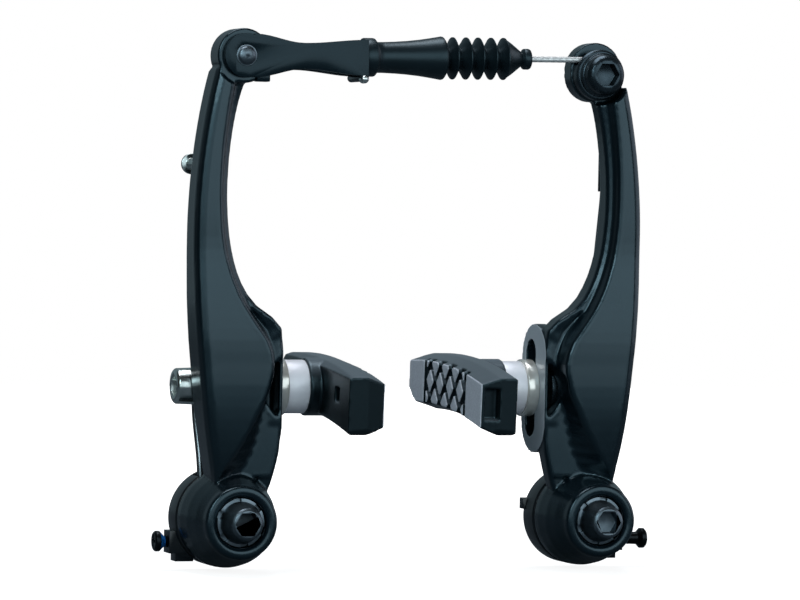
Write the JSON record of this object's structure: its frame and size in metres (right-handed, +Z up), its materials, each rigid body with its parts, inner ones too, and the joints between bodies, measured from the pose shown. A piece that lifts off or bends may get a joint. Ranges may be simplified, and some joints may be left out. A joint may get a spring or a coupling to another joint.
{
  "type": "linear-pull bicycle rim brake",
  "caption": "Linear-pull bicycle rim brake: two cast pivoting arms with rubber pads, joined over the wheel by a folded link, a bellows boot and a cable.",
  "frame": {"origin": "midway between the two stud axes, on the plane of the stud seats", "axes": "+X from the link's arm to the anchor's arm, +Y towards the frame along the studs, +Z up the arms"},
  "size_m": [0.1224, 0.0544, 0.1247],
  "materials": {
    "black_enamel": "gloss black over a die casting",
    "black_steel": "black zinc, semi gloss",
    "bare_steel": "turned and nickel plated",
    "bright_wire": "drawn stainless wire",
    "silver_spacer": "satin anodised",
    "black_nylon": "moulded satin",
    "pad_rubber": "moulded, ground friction face",
    "boot_rubber": "smooth moulded"
  },
  "bodies": {
    "studs": {"left_pivot_bushing": "bare_steel", "right_pivot_bushing": "bare_steel", "left_pivot_collar": "black_steel", "right_pivot_collar": "black_steel", "left_pivot_bolt": "black_steel", "right_pivot_bolt": "black_steel", "left_spring_box": "black_nylon", "right_spring_box": "black_nylon", "left_spring": "bright_wire", "right_spring": "bright_wire"},
    "left_screw": {"left_tension_screw": "black_steel"},
    "right_screw": {"right_tension_screw": "black_steel"},
    "left_lever": {"left_arm": "black_enamel", "left_catch_pin": "bright_wire", "left_spring_sleeve": "black_nylon", "left_pad": "pad_rubber", "left_pad_post": "bare_steel", "left_pad_spacer": "silver_spacer", "left_inner_washer": "black_steel", "left_outer_washer": "black_steel", "left_outer_cup": "black_steel", "left_pad_nut": "bare_steel"},
    "right_lever": {"right_arm": "black_enamel", "right_catch_pin": "bright_wire", "right_spring_sleeve": "black_nylon", "right_pad": "pad_rubber", "right_pad_post": "bare_steel", "right_pad_spacer": "silver_spacer", "right_inner_washer": "black_steel", "right_outer_washer": "black_steel", "right_outer_cup": "black_steel", "right_pad_nut": "bare_steel", "anchor_washer": "black_steel", "anchor_bolt": "black_steel"},
    "link_body": {"link": "black_enamel", "link_rivet": "black_steel", "pipe_nose": "silver_spacer", "boot": "boot_rubber"},
    "cable_body": {"cable": "bright_wire"}
  },
  "joints": [
    {"name": "left_arm_pivot", "type": "hinge", "parent": "studs", "child": "left_lever", "pos_m": [-0.044, 0, 0], "axis": [0, 1, 0], "range_deg": [0, 2.8], "stiffness_Nm_per_rad": 0.5, "springref_deg": -17.19, "deforming": ["left_spring"]},
    {"name": "right_arm_pivot", "type": "hinge", "parent": "studs", "child": "right_lever", "pos_m": [0.044, 0, 0], "axis": [0, 1, 0], "range_deg": [-2.8, 0], "stiffness_Nm_per_rad": 0.5, "springref_deg": 17.19, "deforming": ["right_spring"]},
    {"name": "link_pivot", "type": "hinge", "parent": "left_lever", "child": "link_body", "pos_m": [-0.044, -0.0155, 0.107], "axis": [0, 1, 0], "range_deg": [-3.13, 0]},
    {"name": "cable_slide", "type": "slide", "parent": "link_body", "child": "cable_body", "axis": [0.9999, 0, 0.017], "range_m": [-0.0106, 0]},
    {"name": "left_tension_screw_turn", "type": "hinge", "parent": "studs", "child": "left_screw", "pos_m": [-0.0563, -0.004, -0.0056], "axis": [1, 0, 0], "range_deg": [-720, 720]},
    {"name": "right_tension_screw_turn", "type": "hinge", "parent": "studs", "child": "right_screw", "pos_m": [0.0563, -0.004, -0.0056], "axis": [-1, 0, 0], "range_deg": [-720, 720]}
  ],
  "couplings": [
    {"joint": "right_arm_pivot", "follows": "left_arm_pivot", "ratio": -1},
    {"joint": "link_pivot", "follows": "left_arm_pivot", "ratio": -1.0472},
    {"joint": "cable_slide", "follows": "left_arm_pivot", "m_per_rad": -0.21195}
  ]
}
